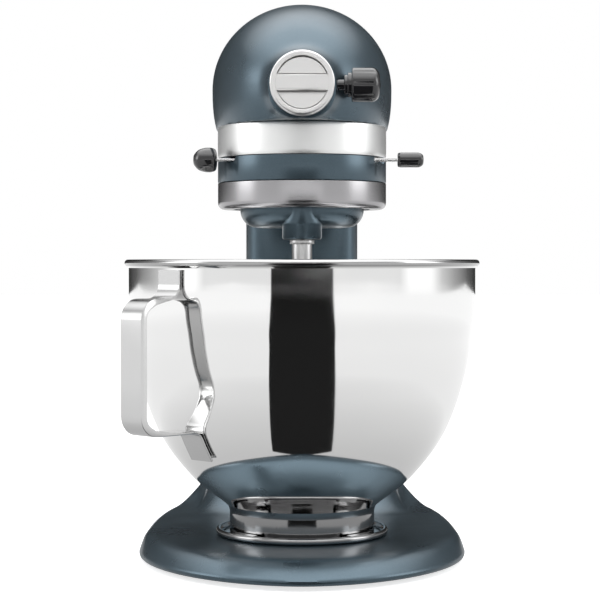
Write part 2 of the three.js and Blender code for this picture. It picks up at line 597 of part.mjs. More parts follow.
const underside = HEAD.floor + HEAD.wall;
const caseTop = HEAD.bandLow - GAP;
let lowerCase = prism(headPlan, HEAD.floor, caseTop)
  .subtract(prism(inPlan(HEAD.wall), underside, 290))
  .add(rod("z", 13, HEAD.floor, 256, 0, 0, 28))
  .add(rod("z", 8, HEAD.floor, 256, WHEEL_X, WHEEL_Y, 20))
  .add(box(-34, 34, 126, PIN.y - PIN.cheek - 1.5, 229.7, underside))
  .add(box(-PIN.slot + GAP, PIN.slot - GAP, PIN.y - PIN.knuckle, PIN.y + PIN.knuckle, PIN.z, underside))
  .add(rod("x", PIN.knuckle, -PIN.slot + GAP, PIN.slot - GAP, PIN.y, PIN.z, 28))
  .subtract(shaftBore(6.3, 0, 0))
  .subtract(rod("z", WHEEL_SHAFT + GAP, 248, 330, WHEEL_X, WHEEL_Y, 20))
  .subtract(rod("x", PIN.radius + GAP, -60, 60, PIN.y, PIN.z));
// Room for a lever's swing in the wall: the right one swings back, the left one forward.
const wedge = (side) => {
  const outline = [];
  for (const [radius, degrees] of [[10, -18], [30, -16], [32, 15], [30, 46], [10, 48]]) {
    const turn = THREE.MathUtils.degToRad(degrees);
    outline.push([side * (LEVER.x + radius * Math.cos(turn)), LEVER.y + side * radius * Math.sin(turn)]);
  }
  return prism(outline, LEVER.z - 1.6, 280);
};
lowerCase = lowerCase.subtract(wedge(1)).subtract(wedge(-1));
const pivot = (side) => rod("z", 4, HEAD.floor + 1, LEVER.z - LEVER.thick / 2 - GAP, side * LEVER.x, LEVER.y, 16);
const pivotPin = (side) => rod("z", 2, HEAD.floor + 1, LEVER.z + 2, side * LEVER.x, LEVER.y, 12);
lowerCase = lowerCase.add(pivot(1)).add(pivot(-1)).add(pivotPin(1)).add(pivotPin(-1));
add("lower_gear_case", lowerCase, paint);

// ---------------------------------------------------------------- levers
const LOCK_KNOB = 53.6; // where the lock lever's knob starts; the speed lever's starts further out
const SPEED_KNOB = 60.3;
function leverArm(side, thick, knob) {
  const low = LEVER.z - thick / 2;
  const high = LEVER.z + thick / 2;
  const arm = box(LEVER.x, knob + 1.7, LEVER.y - 3, LEVER.y + 3, low, high)
    .add(rod("z", 5, low, high, LEVER.x, LEVER.y, 20))
    .subtract(rod("z", 2.3, LEVER.z - 5, LEVER.z + 5, LEVER.x, LEVER.y, 12));
  return side > 0 ? arm : arm.mirror([1, 0, 0]);
}
// A turned knob with a socket for the arm: profile of [radius, distance from its inner face].
function leverKnob(profile, knob) {
  const placed = profile.map(([radius, out]) => [radius, knob + out]);
  const socket = box(knob - 1, knob + 2, LEVER.y - 3.3, LEVER.y + 3.3, LEVER.z - 1.5, LEVER.z + 1.5);
  return turned("x", placed, LEVER.y, LEVER.z, 24).subtract(socket);
}
add("speed_lever_arm", leverArm(1, LEVER.thick, SPEED_KNOB), satin);
const speedKnob = [[0, 0], [4.2, 0], [4.7, 1.1], [4.7, 13.3], [3.6, 15.5], [0, 16.3]];
add("speed_lever_knob", leverKnob(speedKnob, SPEED_KNOB), black);
add("lock_lever_arm", leverArm(-1, 2, LOCK_KNOB), satin);
const lockKnob = [[0, 0], [4, 0], [7, 1.3], [7.8, 4.1], [7.6, 8.7], [6, 12.4], [3, 14.5], [0, 15]];
add("lock_lever_knob", leverKnob(lockKnob, LOCK_KNOB).mirror([1, 0, 0]), black);

// ---------------------------------------------------------------- attachment hub
const sleeve = [[12.4, -69.4], [15.7, -69.4], [15.7, -26], [12.4, -26]];
add("hub_socket", turned("y", sleeve, 0, HUB.z, 24).subtract(knobHole), cast);
const hubDrive = bevel(HUB_BEVEL, CENTRE_BEVEL, Math.PI / 2 + Math.PI / HUB_BEVEL.teeth, "y")
  .add(rod("y", 12, -48, -18.6, 0, HUB.z, 28))
  .subtract(box(-4.3, 4.3, -60, -32, HUB.z - 4.3, HUB.z + 4.3));
add("hub_drive", hubDrive, steel);
const coverDisc = [
  [0, -52], [11.8, -52], [11.8, -70.8], [HUB.cover, -70.8], [HUB.cover, -76.6], [18.9, -77.6], [17.4, -77.6],
  [17.4, -76.2], [16.6, -76.2], [16.6, -77], [0, -77],
];
const bar = box(-16.2, 16.2, -80, -76, HUB.z - 4.8, HUB.z + 4.8);
add("hub_cover", turned("y", coverDisc.reverse(), 0, HUB.z, 32).add(bar), polished);
const knobProfile = [
  [0, 12.6], [3.3, 12.6], [3.3, 25.5], [6.5, 25.5], [6.5, 30.2], [8.8, 30.2], [10.1, 31.4], [10.1, 42], [8.8, 45.8],
  [5, 47.4], [0, 47.8],
];
add("attachment_knob", turned("x", knobProfile, KNOB.y, KNOB.z, 24), black);

// ---------------------------------------------------------------- speed control
const board = box(-26, 26, 62, 112, 250, 251.6).add(box(-20, 8, 70, 90, 251, 260));
add("speed_board", board, finish(0x2c5a3a, 0.5, 0));

// The finished group is centred in depth on its footprint.
const REAR_MOST = 236;
mixer.children.forEach((node) => (node.position.y = -(BASE.front + REAR_MOST) / 2));

export default mixer;
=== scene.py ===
"""A tilt-head stand mixer in a white studio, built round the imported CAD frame.

Metres, the frame's own axes: +Z up, the mixer's front faces -Y. Every visible shell is rebuilt here as a fine
mesh from the same outlines as the CAD piece that it stands for, and rides on that piece's body. Dimensions are
in millimetres unless they say otherwise; place() turns them into metres.
"""
import json
import math

import bmesh
import bpy
from mathutils import Matrix, Vector


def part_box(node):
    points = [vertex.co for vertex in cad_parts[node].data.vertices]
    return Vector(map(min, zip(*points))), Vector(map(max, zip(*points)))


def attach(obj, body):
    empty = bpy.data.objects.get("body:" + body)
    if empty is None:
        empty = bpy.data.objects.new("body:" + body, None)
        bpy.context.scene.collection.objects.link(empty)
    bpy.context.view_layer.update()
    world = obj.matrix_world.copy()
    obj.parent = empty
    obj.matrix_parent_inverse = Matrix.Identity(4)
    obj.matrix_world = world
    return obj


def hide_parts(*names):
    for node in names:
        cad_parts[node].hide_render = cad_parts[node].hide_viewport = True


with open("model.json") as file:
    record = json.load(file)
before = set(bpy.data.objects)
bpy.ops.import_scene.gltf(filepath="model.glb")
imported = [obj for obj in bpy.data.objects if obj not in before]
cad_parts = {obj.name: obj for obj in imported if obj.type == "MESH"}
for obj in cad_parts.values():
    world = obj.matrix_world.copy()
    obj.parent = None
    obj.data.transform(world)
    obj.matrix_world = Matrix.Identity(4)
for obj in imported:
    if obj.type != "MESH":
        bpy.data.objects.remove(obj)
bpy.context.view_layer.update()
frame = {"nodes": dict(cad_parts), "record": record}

MM = 0.001
# depth of the bowl's and the planetary's axis, in metres
BOWL_AXIS = (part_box("bowl")[0][1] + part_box("bowl")[1][1]) / 2


# ---------------------------------------------------------------- mesh helpers
def place(x, y, z):
    """A point given in millimetres, with depth counted from the bowl's axis."""
    return Vector((x * MM, y * MM + BOWL_AXIS, z * MM))


def piece(name, points, faces, material, body, stands_for=(), slot=None, crease=32):
    """A mesh object that rides on a body. Edges sharper than `crease` degrees stay sharp."""
    mesh = bpy.data.meshes.new(name)
    mesh.from_pydata(points, [], faces)
    cleaner = bmesh.new()
    cleaner.from_mesh(mesh)
    bmesh.ops.remove_doubles(cleaner, verts=cleaner.verts, dist=1e-6)
    bmesh.ops.dissolve_degenerate(cleaner, dist=1e-7, edges=cleaner.edges)
    bmesh.ops.recalc_face_normals(cleaner, faces=cleaner.faces)
    cleaner.to_mesh(mesh)
    cleaner.free()
    mesh.materials.append(material)
    obj = bpy.data.objects.new(name, mesh)
    bpy.context.scene.collection.objects.link(obj)
    finish(obj, crease)
    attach(obj, body)
    if stands_for:
        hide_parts(*stands_for)
    return obj


def finish(obj, crease=32):
    """Smooth shading, with edges sharper than `crease` degrees kept."""
    obj.data.shade_smooth()
    obj.data.set_sharp_from_angle(angle=math.radians(crease))


def apply_modifiers(obj):
    """Bakes an object's modifiers into its mesh."""
    graph = bpy.context.evaluated_depsgraph_get()
    baked = bpy.data.meshes.new_from_object(obj.evaluated_get(graph))
    old = obj.data
    obj.modifiers.clear()
    obj.data = baked
    bpy.data.meshes.remove(old)


def cut(obj, tools, crease=32, join=False):
    """Takes the tool objects out of obj (or adds them to it), and deletes them."""
    for tool in tools:
        step = obj.modifiers.new("cut", "BOOLEAN")
        step.operation = "UNION" if join else "DIFFERENCE"
        step.solver = "EXACT"
        step.object = tool
        apply_modifiers(obj)
        bpy.data.objects.remove(tool, do_unlink=True)
    finish(obj, crease)


def raw(points, faces):
    """An object for a boolean, in place but on no body."""
    mesh = bpy.data.meshes.new("tool")
    mesh.from_pydata(points, [], faces)
    cleaner = bmesh.new()
    cleaner.from_mesh(mesh)
    bmesh.ops.remove_doubles(cleaner, verts=cleaner.verts, dist=1e-6)
    bmesh.ops.recalc_face_normals(cleaner, faces=cleaner.faces)
    cleaner.to_mesh(mesh)
    cleaner.free()
    obj = bpy.data.objects.new("tool", mesh)
    bpy.context.scene.collection.objects.link(obj)
    return obj


def loft(rings, closed=False, cap=True):
    """Points and faces of a skin through rings of equal length."""
    count = len(rings[0])
    points = [p for ring in rings for p in ring]
    faces = []
    spans = len(rings) if closed else len(rings) - 1
    for level in range(spans):
        low, high = level * count, (level + 1) % len(rings) * count
        for i in range(count):
            j = (i + 1) % count
            faces.append((low + i, low + j, high + j, high + i))
    if cap and not closed:
        faces.append(tuple(range(count)))
        faces.append(tuple(range((len(rings) - 1) * count, len(rings) * count)))
    return points, faces


def lathe(profile, axis="z", at=(0, 0), sides=96, wave=None):
    """Points and faces of a turned piece: closed profile of (radius, position) along an axis through `at`.

    wave(turn, radius, position) may change the radius round the piece, for flutes."""
    rings = []
    for i in range(sides):
        turn = 2 * math.pi * i / sides
        ring = []
        for radius, along in profile:
            r = wave(turn, radius, along) if wave else radius
            a, b = r * math.cos(turn), r * math.sin(turn)
            if axis == "z":
                ring.append(place(at[0] + a, at[1] + b, along))
            elif axis == "y":
                ring.append(place(at[0] + a, along, at[1] + b))
            else:
                ring.append(place(along, at[0] + a, at[1] + b))
        rings.append(ring)
    return loft(rings, closed=True)


def rounded(profile, radius, steps=4):
    """The profile with its corners rounded; `radius` is one number or one for each corner."""
    count = len(profile)
    radii = radius if isinstance(radius, (list, tuple)) else [radius] * count
    out = []
    for i, corner in enumerate(profile):
        p = Vector(corner)
        before, after = Vector(profile[i - 1]) - p, Vector(profile[(i + 1) % count]) - p
        reach = min(radii[i], 0.45 * before.length, 0.45 * after.length)
        if reach < 1e-6 or before.length < 1e-6 or after.length < 1e-6:
            out.append(tuple(p))
            continue
        start, end = p + before.normalized() * reach, p + after.normalized() * reach
        for k in range(steps + 1):
            t = k / steps
            out.append(tuple((1 - t) ** 2 * start + 2 * t * (1 - t) * p + t * t * end))
    return out


def spline(points, steps=6):
    """A smooth curve through the points (Catmull-Rom), as more points."""
    out = []
    for i in range(len(points) - 1):
        p0 = Vector(points[max(0, i - 1)])
        p1, p2 = Vector(points[i]), Vector(points[i + 1])
        p3 = Vector(points[min(len(points) - 1, i + 2)])
        for k in range(steps):
            t = k / steps
            square = 2 * p0 - 5 * p1 + 4 * p2 - p3
            cube = 3 * p1 - p0 - 3 * p2 + p3
            out.append(tuple(0.5 * (2 * p1 + (p2 - p0) * t + square * t**2 + cube * t**3)))
    out.append(tuple(points[-1]))
    return out


def block(x0, x1, y0, y1, z0, z1):
    """Points and faces of a box, for a boolean."""
    points = [place(x, y, z) for x in (x0, x1) for y in (y0, y1) for z in (z0, z1)]
    return points, [(0, 1, 3, 2), (4, 6, 7, 5), (0, 4, 5, 1), (2, 3, 7, 6), (0, 2, 6, 4), (1, 5, 7, 3)]


def rod(radius, start, end, axis="z", at=(0, 0), sides=32):
    """A round bar along an axis through `at`, for a boolean."""
    return raw(*lathe([(0, start), (radius, start), (radius, end), (0, end)], axis, at, sides))


def ring_sector(middle, reach, outer, inner, low, high, steps=8):
    """A flat piece of a ring round the bowl's axis, `reach` degrees to each side of `middle`, for a boolean."""
    rings = []
    for z in (low, high):
        ring = []
        for radius, way in ((outer, 1), (inner, -1)):
            for k in range(steps + 1):
                turn = math.radians(middle) + way * math.radians(-reach + 2 * reach * k / steps)
                ring.append(place(radius * math.cos(turn), radius * math.sin(turn), z))
        rings.append(ring)
    return raw(*loft(rings))


def oval(sides, half_width, middle, front, rear, square_front, square_rear):
    """A rounded outline in plan, as (x, y); its front and rear halves have their own reach and squareness."""
    points = []
    for i in range(sides):
        turn = 2 * math.pi * i / sides
        c, s = math.cos(turn), math.sin(turn)
        power = 2 / (square_front if s < 0 else square_rear)
        reach = front if s < 0 else rear
        x = half_width * math.copysign(abs(c) ** power, c)
        y = middle + reach * math.copysign(abs(s) ** power, s)
        points.append((x, y))
    return points


def even(outline, count):
    """The closed outline with `count` points at equal distances along it."""
    loop = [Vector(p) for p in outline] + [Vector(outline[0])]
    lengths = [0.0]
    for a, b in zip(loop, loop[1:]):
        lengths.append(lengths[-1] + (b - a).length)
    out, k = [], 0
    for i in range(count):
        want = lengths[-1] * i / count
        while lengths[k + 1] < want:
            k += 1
        share = (want - lengths[k]) / (lengths[k + 1] - lengths[k])
        out.append(tuple(loop[k].lerp(loop[k + 1], share)))
    return out


# ---------------------------------------------------------------- materials
def shader(name, color, metallic=0.0, roughness=0.5):
    """A Principled material, with its nodes, links and shader ready for detail."""
    material = bpy.data.materials.new(name)
    material.use_nodes = True
    nodes, links = material.node_tree.nodes, material.node_tree.links
    surface = nodes["Principled BSDF"]
    surface.inputs["Base Color"].default_value = (*color, 1)
    surface.inputs["Metallic"].default_value = metallic
    surface.inputs["Roughness"].default_value = roughness
    return material, nodes, links, surface


def noise(nodes, links, scale, detail=4, stretch=(1, 1, 1)):
    """Noise in object space, so that it stays put on the piece; `stretch` pulls it out into grain."""
    where = nodes.new("ShaderNodeTexCoord")
    mapping = nodes.new("ShaderNodeMapping")
    mapping.inputs["Scale"].default_value = stretch
    texture = nodes.new("ShaderNodeTexNoise")
    texture.inputs["Scale"].default_value = scale
    texture.inputs["Detail"].default_value = detail
    texture.inputs["Roughness"].default_value = 0.55
    links.new(where.outputs["Object"], mapping.inputs["Vector"])
    links.new(mapping.outputs["Vector"], texture.inputs["Vector"])
    return texture.outputs["Fac"]


def ranged(nodes, links, source, low, high, start=0.35, end=0.65):
    """The source, spread from `start`..`end` to `low`..`high`."""
    node = nodes.new("ShaderNodeMapRange")
    node.inputs["From Min"].default_value = start
    node.inputs["From Max"].default_value = end
    node.inputs["To Min"].default_value = low
    node.inputs["To Max"].default_value = high
    links.new(source, node.inputs["Value"])
    return node.outputs["Result"]


def tinted(nodes, links, source, first, second):
    """A colour between two, by the source."""
    node = nodes.new("ShaderNodeMix")
    node.data_type = "RGBA"
    node.inputs[6].default_value = (*first, 1)
    node.inputs[7].default_value = (*second, 1)
    links.new(source, node.inputs[0])
    return node.outputs[2]


def bumped(nodes, links, surface, source, strength, distance):
    """Fine relief on the shader's normal."""
    node = nodes.new("ShaderNodeBump")
    node.inputs["Strength"].default_value = strength
    node.inputs["Distance"].default_value = distance * MM
    links.new(source, node.inputs["Height"])
    links.new(node.outputs["Normal"], surface.inputs["Normal"])


def enamel():
    """Slate-blue metallic enamel: flake, a slow change of gloss, faint orange peel and a clear coat."""
    material, nodes, links, surface = shader("slate_enamel", (0.064, 0.096, 0.119), 0.7, 0.3)
    flake = ranged(nodes, links, noise(nodes, links, 2600, 2), 0.0, 1.0, 0.3, 0.7)
    tone = tinted(nodes, links, flake, (0.055, 0.084, 0.105), (0.08, 0.115, 0.14))
    links.new(tone, surface.inputs["Base Color"])
    links.new(ranged(nodes, links, noise(nodes, links, 34, 3), 0.27, 0.33), surface.inputs["Roughness"])
    surface.inputs["Coat Weight"].default_value = 0.1
    surface.inputs["Coat Roughness"].default_value = 0.15
    bumped(nodes, links, surface, noise(nodes, links, 420, 2), 0.05, 0.06)
    return material


def mirror_steel():
    """Polished stainless steel with faint buffing marks and handling smears."""
    material, nodes, links, surface = shader("polished_steel", (0.86, 0.86, 0.86), 1.0, 0.05)
    smears = ranged(nodes, links, noise(nodes, links, 16, 5), 0.035, 0.075)
    links.new(smears, surface.inputs["Roughness"])
    tone = tinted(nodes, links, noise(nodes, links, 9, 3), (0.83, 0.83, 0.83), (0.89, 0.89, 0.885))
    links.new(tone, surface.inputs["Base Color"])
    bumped(nodes, links, surface, noise(nodes, links, 300, 2, (1, 1, 26)), 0.012, 0.02)
    return material


def brushed(name, color, roughness, stretch, scale=240, strength=0.08, vary=1.0):
    """Metal with fine grain along one direction; `vary` scales how much its gloss and tone change."""
    material, nodes, links, surface = shader(name, color, 1.0, roughness)
    grain = noise(nodes, links, scale, 4, stretch)
    gloss = ranged(nodes, links, grain, roughness - 0.07 * vary, roughness + 0.08 * vary)
    links.new(gloss, surface.inputs["Roughness"])
    dark = tuple(c * (1 - 0.1 * vary) for c in color)
    light = tuple(min(1, c * (1 + 0.12 * vary)) for c in color)
    links.new(tinted(nodes, links, grain, dark, light), surface.inputs["Base Color"])
    bumped(nodes, links, surface, grain, strength, 0.05)
    return material


def moulded(name, color, roughness, grain=900, strength=0.04, coat=0.0):
    """Plastic or rubber with a faint moulded texture and uneven gloss."""
    material, nodes, links, surface = shader(name, color, 0.0, roughness)
    texture = noise(nodes, links, grain, 3)
    gloss = ranged(nodes, links, noise(nodes, links, 60, 4), roughness * 0.8, roughness * 1.25)
    links.new(gloss, surface.inputs["Roughness"])
    light = tuple(c * 1.5 + 0.003 for c in color)
    links.new(tinted(nodes, links, texture, color, light), surface.inputs["Base Color"])
    surface.inputs["Coat Weight"].default_value = coat
    bumped(nodes, links, surface, texture, strength, 0.05)
    return material


ENAMEL = enamel()
MIRROR = mirror_steel()
SATIN = brushed("satin_trim", (0.84, 0.845, 0.84), 0.4, (1, 1, 12), 90, 0.002, 0.15)
BRUSHED = brushed("brushed_steel", (0.6, 0.6, 0.6), 0.24, (1, 1, 30), 200, 0.04)
# painted shade: the drip ring's polished steel, made much darker than the bowl's so that it reads mid-grey
RING_STEEL_SHADED = brushed("ring_steel_painted_shade", (0.38, 0.375, 0.385), 0.24, (1, 1, 1), 60, 0.001, 0.15)
# painted shade: a dark copy of the polished steel for the bowl's foot ring and the clamp plate
FOOT_STEEL_SHADED = brushed("foot_steel_painted_shade", (0.3, 0.3, 0.303), 0.1, (1, 1, 1), 60, 0.001, 0.15)
# painted shade: a darker copy of the polished steel for the bowl's rolled rim
RIM_STEEL_SHADED = brushed("rim_steel_painted_shade", (0.42, 0.42, 0.42), 0.16, (1, 1, 1), 60, 0.001, 0.15)
# painted shade: a darker copy of the polished steel for the bowl's handle
HANDLE_STEEL_SHADED = brushed("handle_steel_painted_shade", (0.6, 0.6, 0.6), 0.17, (1, 1, 1), 60, 0.001, 0.15)
SHAFT_STEEL = brushed("shaft_steel", (0.5, 0.5, 0.5), 0.3, (1, 1, 4), 200, 0.002, 0.2)
HUB_STEEL = brushed("hub_steel", (0.72, 0.715, 0.71), 0.3, (1, 1, 1), 900, 0.002, 0.2)
MACHINED = brushed("machined_steel", (0.45, 0.46, 0.47), 0.35, (8, 1, 1))
CASTING = brushed("cast_metal", (0.5, 0.5, 0.5), 0.5, (1, 1, 1), 500, 0.3)
COPPER = brushed("copper_winding", (0.7, 0.33, 0.18), 0.3, (1, 30, 30), 300, 0.4)
GLOSS_BLACK = moulded("gloss_black_plastic", (0.006, 0.006, 0.007), 0.16, 700, 0.02, 0.5)
MATT_BLACK = moulded("matt_black_plastic", (0.012, 0.012, 0.013), 0.5)
RUBBER = moulded("rubber", (0.014, 0.014, 0.014), 0.7, 500, 0.15)
NYLON = moulded("nylon", (0.62, 0.58, 0.45), 0.42)
CARBON = moulded("carbon", (0.02, 0.02, 0.022), 0.55, 400, 0.2)
BOARD = moulded("circuit_board", (0.03, 0.13, 0.07), 0.4, 300, 0.1)

SLOT_MATERIALS = {
    "paint": ENAMEL,
    "polished_steel": MIRROR,
    "satin_steel": BRUSHED,
    "machined_steel": MACHINED,
    "cast_metal": CASTING,
    "black_plastic": MATT_BLACK,
    "rubber": RUBBER,
    "nylon": NYLON,
    "copper": COPPER,
    "carbon": CARBON,
    "circuit_board": BOARD,
}


def dress_frame():
    """Gives every CAD node the material of its slot."""
    for part in frame["record"]["subparts"]:
        node = frame["nodes"][part["node"]]
        material = SLOT_MATERIALS[part["material_slot"]]
        if not node.material_slots:
            node.data.materials.append(material)
        for held in node.material_slots:
            held.material = material


# ---------------------------------------------------------------- motor head
HEAD = {
    "axis": 306,
    "half_width": 59.5,
    "rise": 56,
    "sag": 60,
    "squareness": 2.6,
    "nose": -66,
    "nose_middle": 50,
    "tail_middle": 128,
    "tail": 234,
    "split": 186,
    "floor": 243,
    "band_low": 259,
    "band_high": 279,
}
HEAD_OUTLINE = {
    "half_width": 54.5,
    "middle": 10,
    "front": 64.4,
    "rear": 205,
    "square_front": 2.15,
    "square_rear": 3.2,
}
HUB = {"z": 300, "face": -70.5, "boss": 20.2, "boss_most": 25, "taper": 0.28, "bore": 16}
SCREW_HOLE = {"y": -64, "radius": 3.7}  # cross hole for the thumb screw
CAP_HOLE = {"y": 158, "radius": 6.3}  # for the motor's brush caps
GAP = 0.3
WALL = 3.5
LEVER = {"x": 30, "y": -25, "z": 256.6, "swing": (-5, 35), "slot_drop": 1.6}


def smooth_max(a, b, soft):
    """The larger of two lengths, with a fillet of about `soft` where they cross."""
    return 0.5 * (a + b + math.sqrt((a - b) ** 2 + soft**2))


def head_section(y, sides=112):
    """One ring of the housing: a dome at the nose that flows into the round hub boss."""
    ahead = min(1, max(0, (HEAD["nose_middle"] - y) / (HEAD["nose_middle"] - HEAD["nose"])))
    behind = min(1, max(0, (y - HEAD["tail_middle"]) / (HEAD["tail"] - HEAD["tail_middle"])))
    full = math.sqrt(max(0, 1 - ahead**2.5)) * math.sqrt(max(0, 1 - behind**3))
    middle = HEAD["axis"] - (HEAD["axis"] - HUB["z"]) * ahead**2
    boss = min(HUB["boss"] + HUB["taper"] * (y - HUB["face"]), HUB["boss_most"])
    soft = 5 * min(1, max(0, (-20 - y) / 25))  # the fillet dies out 20 in front of the bowl's axis
    ring = []
    for i in range(sides):
        turn = 2 * math.pi * i / sides
        up = math.sin(turn) > 0
        width = HEAD["half_width"] * full
        height = (HEAD["rise"] if up else HEAD["sag"]) * full
        if soft:
            width, height = smooth_max(width, boss, soft), smooth_max(height, boss, soft)
        power = 1 if up else 2 / HEAD["squareness"]
        across = math.copysign(abs(math.cos(turn)) ** power, math.cos(turn))
        rise = math.copysign(abs(math.sin(turn)) ** power, math.sin(turn))
        x, z = width * across, middle + height * rise
        ring.append(place(x, y, max(z, HEAD["band_high"] + GAP)))
    return ring


def spread(start, end, steps, power):
    """Positions from start to end, closer together near the start when power is over 1."""
    return [start + (end - start) * (i / steps) ** power for i in range(steps + 1)]


def housing():
    """Upper housing, cut at the rear split, with the hub's bore."""
    face = HUB["face"]
    ys = [face + 1.2, *spread(face + 2, HEAD["nose_middle"], 46, 1.4), 80, 105]
    ys += list(reversed(spread(HEAD["split"], HEAD["tail_middle"], 10, 1.0)))
    rings = [head_section(y) for y in ys]
    spokes = [(p - place(0, face + 1.2, HUB["z"])) for p in rings[0]]
    lip = [place(0, face + 0.35, HUB["z"]) + spoke * 0.985 for spoke in spokes]
    flat = [place(0, face, HUB["z"]) + spoke * 0.95 for spoke in spokes]
    obj = piece("housing", *loft([flat, lip, *rings]), ENAMEL, "head", ["upper_housing"], "paint", 30)
    bore = rod(HUB["bore"], -90, -20, "y", (0, HUB["z"]), 64)
    screw_hole = rod(SCREW_HOLE["radius"], 10, 60, "x", (SCREW_HOLE["y"], HUB["z"]), 32)
    cap_holes = rod(CAP_HOLE["radius"], -90, 90, "x", (CAP_HOLE["y"], HEAD["axis"]), 48)
    cut(obj, [bore, screw_hole, cap_holes], 30)


def rear_cover():
    """Rear cover: the housing's tail, a hairline behind the split."""
    ys = [HEAD["split"] + 0.5, HEAD["split"] + 1.1]
    ys += list(reversed(spread(HEAD["tail"] - 0.12, HEAD["split"] + 2, 26, 2.2)))
    rings = [head_section(y) for y in ys]
    middle = place(0, HEAD["split"] + 0.5, HUB["z"])
    inner = [p + (middle - p) * 0.01 for p in rings[0]]
    obj = piece("tail_cover", *loft([inner, *rings[1:]]), ENAMEL, "head", ["rear_cover"], "paint", 30)
    cut(obj, [rod(4.4, 222, 250, "y", (0, HEAD["axis"]), 32)], 30)


HEAD_PLAN = even(oval(360, **HEAD_OUTLINE), 220)


def grown(outline, by):
    """The outline moved outwards by a distance along its own normals."""
    out = []
    for i, p in enumerate(outline):
        a, b = Vector(outline[i - 1]), Vector(outline[(i + 1) % len(outline)])
        along = (b - a).normalized()
        out.append((p[0] + along.y * by, p[1] - along.x * by))
    return out


def belt(name, profile, material, stands_for, slot, top=None):
    """A band round the head: profile of (outwards, height); `top` may lower the upper edge at a place."""
    rings = []
    for out, z in profile:
        ring = []
        for x, y in grown(HEAD_PLAN, out):
            ring.append(place(x, y, min(z, top(x, y)) if top else z))
        rings.append(ring)
    return piece(name, *loft(rings, closed=True), material, "head", stands_for, slot, 40)


def trim_band():
    """Satin metal band with a slight crown and rolled edges."""
    low, high = HEAD["band_low"], HEAD["band_high"]
    crown = [(-WALL, low), (-0.5, low), (-0.15, low + 0.15), (0, low + 0.5)]
    for k in range(1, 8):
        crown.append((0.1 * math.sin(math.pi * k / 8), low + 0.5 + (high - low - 1) * k / 8))
    crown += [(0, high - 0.5), (-0.15, high - 0.15), (-0.5, high), (-WALL, high)]
    belt("trim_strip", crown, SATIN, ["trim_band"], "satin_steel")


def lever_slot(x, y):
    """Upper edge of the gear case at a place: lower where a lever swings."""
    dx, dy = abs(x) - LEVER["x"], y - LEVER["y"]
    turn = math.degrees(math.atan2(dy, dx))
    swing = turn if x > 0 else -turn
    first, last = LEVER["swing"]
    inside = dx > 6 and first < swing < last
    return LEVER["z"] - LEVER["slot_drop"] if inside else HEAD["band_low"]


def gear_case():
    """Painted lower case: a wall with a floor whose middle is a plate of its own."""
    low, high = HEAD["floor"], HEAD["band_low"] - GAP
    turned_in = 30  # how far the wall's piece reaches inwards along the floor
    wall = [
        (-WALL, low + WALL), (-WALL, high), (-0.4, high), (-0.1, high - 0.1), (0, high - 0.4), (0, low + 0.6),
        (-0.15, low + 0.2), (-0.5, low), (-1.2, low), (-turned_in, low), (-turned_in, low + WALL),
    ]
    belt("case", wall, ENAMEL, ["lower_gear_case"], "paint", lever_slot)
    inner = grown(HEAD_PLAN, 0.5 - turned_in)
    rings = [[place(x, y, z) for x, y in inner] for z in (low, low + WALL)]
    piece("case_floor", *loft(rings), ENAMEL, "head", [], "paint")


# ---------------------------------------------------------------- planetary drive
ORBIT = 28  # distance of the beater shaft from the planetary's axis
DOME = {"radius": 39.7, "low": 214.4, "high": 230.3, "fillet": 11}
SHAFT = {"radius": 6.35, "low": 150, "high": 228, "pin": 161, "pin_radius": 1.6, "pin_half": 10.5}
COLLAR = {"inner": 6.7, "outer": 7.7, "low": 203.6, "high": 206.1}


def drip_ring():
    """Bright ring round the planetary, with a rolled lower edge."""
    outline = [(45.6, 242.7), (54.1, 242.7), (54.1, 226), (43.4, 226), (43.4, 227.8), (45.6, 229.4)]
    profile = rounded(outline, [0.5, 0.4, 4.6, 0.8, 0.4, 1.4], 8)
    # painted shade: the ring wears a darkened copy of the polished steel
    piece("ring", *lathe(profile, sides=192), RING_STEEL_SHADED, "head", ["drip_ring"], "polished_steel", 40)


def planetary():
    """Painted dome with the boss that holds the beater shaft, and a web on each side of the boss."""
    fillet = DOME["fillet"]
    profile = [(0, DOME["low"])]
    for k in range(17):
        turn = math.pi / 2 * k / 16
        out, up = fillet * (1 - math.sin(turn)), fillet * (1 - math.cos(turn))
        profile.append((DOME["radius"] - out, DOME["low"] + up))
    profile += [(DOME["radius"], DOME["high"]), (0, DOME["high"])]
    dome = piece("dome", *lathe(profile, sides=160), ENAMEL, "planetary_drive", ["planetary"], "paint", 35)
    # height, half width and reach to the front of the boss
    levels = [
        (206.4, 11.2, 11.2), (206.8, 12, 12), (207.8, 12.5, 12.5), (214.6, 12.5, 12.5), (215.8, 13.2, 12.9),
        (217, 13.2, 13.1), (219.5, 12.2, 13.3), (222, 11, 13.5), (224.5, 10.6, 13.5), (230.3, 10.4, 13.5),
    ]
    rings = []
    for z, half, front in levels:
        rings.append([place(x, y, z) for x, y in oval(96, half, -ORBIT, front, half, 2, 2)])
    cut(dome, [raw(*loft(rings))], 35, join=True)
    cut(dome, [rod(COLLAR["inner"], 200, 229, "z", (0, -ORBIT), 64)], 35)


